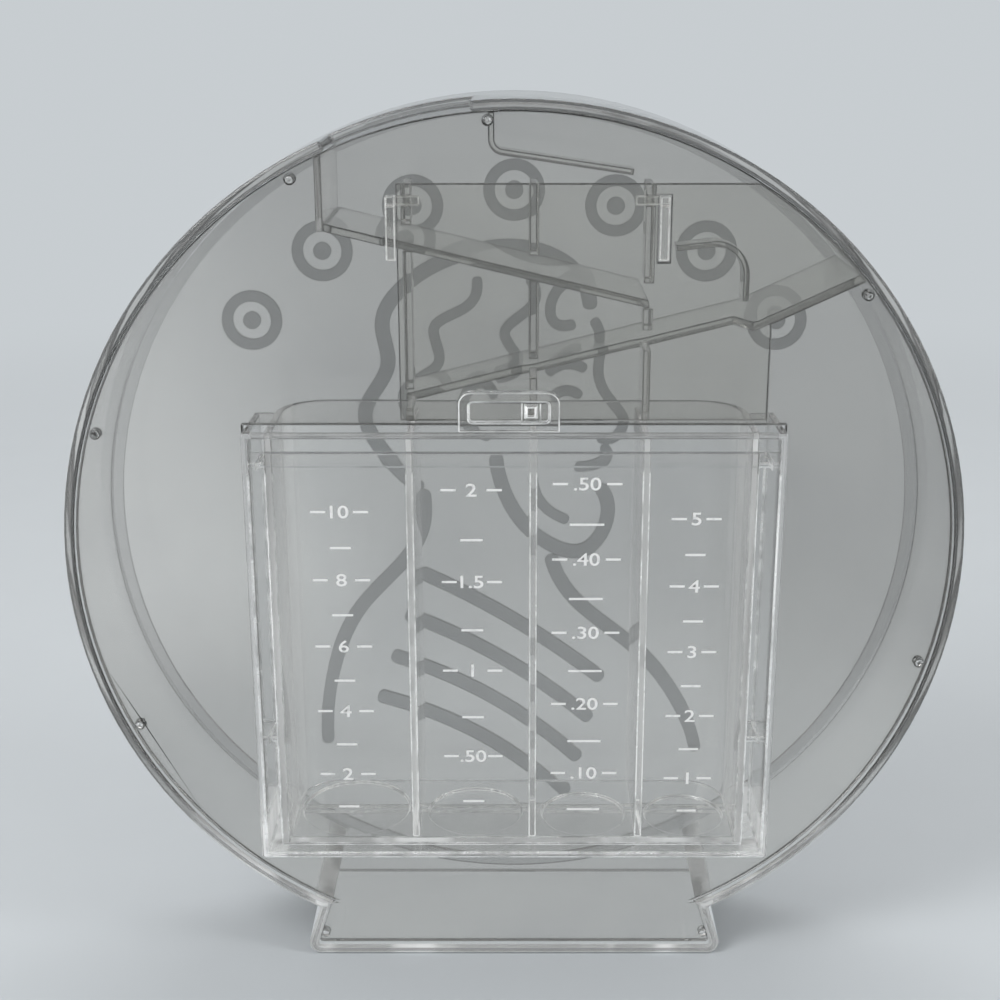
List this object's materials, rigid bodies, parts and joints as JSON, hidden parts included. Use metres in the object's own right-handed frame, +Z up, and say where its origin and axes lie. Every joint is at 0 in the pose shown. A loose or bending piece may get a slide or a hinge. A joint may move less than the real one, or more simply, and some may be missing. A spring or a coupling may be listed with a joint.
{
  "type": "coin sorter",
  "caption": "Clear plastic coin-shaped bank on a flat foot: coins from the rim slot run down ramps that sort them by size into columns of a pull-out tray with a printed scale.",
  "frame": {"origin": "on the floor under the middle of the bounding box", "axes": "+Z up, the tray side faces -Y and the embossed round face +Y, +X to the right seen from the tray side"},
  "size_m": [0.18, 0.0366, 0.181],
  "materials": {
    "clear_case": "clear polished",
    "clear_sorter": "clear polished",
    "clear_tray": "clear polished"
  },
  "bodies": {
    "case": {"rim_band": "clear_case", "front_face": "clear_case", "back_cover": "clear_case", "cover_pegs": "clear_case", "sorter_plate": "clear_sorter", "upper_ramp": "clear_sorter", "sorting_shelf": "clear_sorter", "drop_divider_left": "clear_sorter", "drop_divider_middle": "clear_sorter", "drop_divider_right": "clear_sorter", "deflector": "clear_sorter", "funnel_wall": "clear_sorter", "funnel_guide": "clear_sorter", "plate_hook_left": "clear_sorter", "plate_hook_right": "clear_sorter", "catch_peg": "clear_case"},
    "tray": {"tray_frame": "clear_tray", "tray_bin": "clear_tray", "tray_window": "clear_tray", "tray_divider_left": "clear_tray", "tray_divider_middle": "clear_tray", "tray_divider_right": "clear_tray", "tray_floor": "clear_tray"},
    "latch": {"latch_tab": "clear_tray"}
  },
  "joints": [
    {"name": "tray_slide", "type": "slide", "parent": "case", "child": "tray", "axis": [0, -1, 0], "range_m": [0, 0.045]},
    {"name": "latch_flex", "type": "hinge", "parent": "tray", "child": "latch", "pos_m": [-0.001, -0.01735, 0.1184], "axis": [1, 0, 0], "range_deg": [0, 8], "stiffness_Nm_per_rad": 0.02}
  ]
}
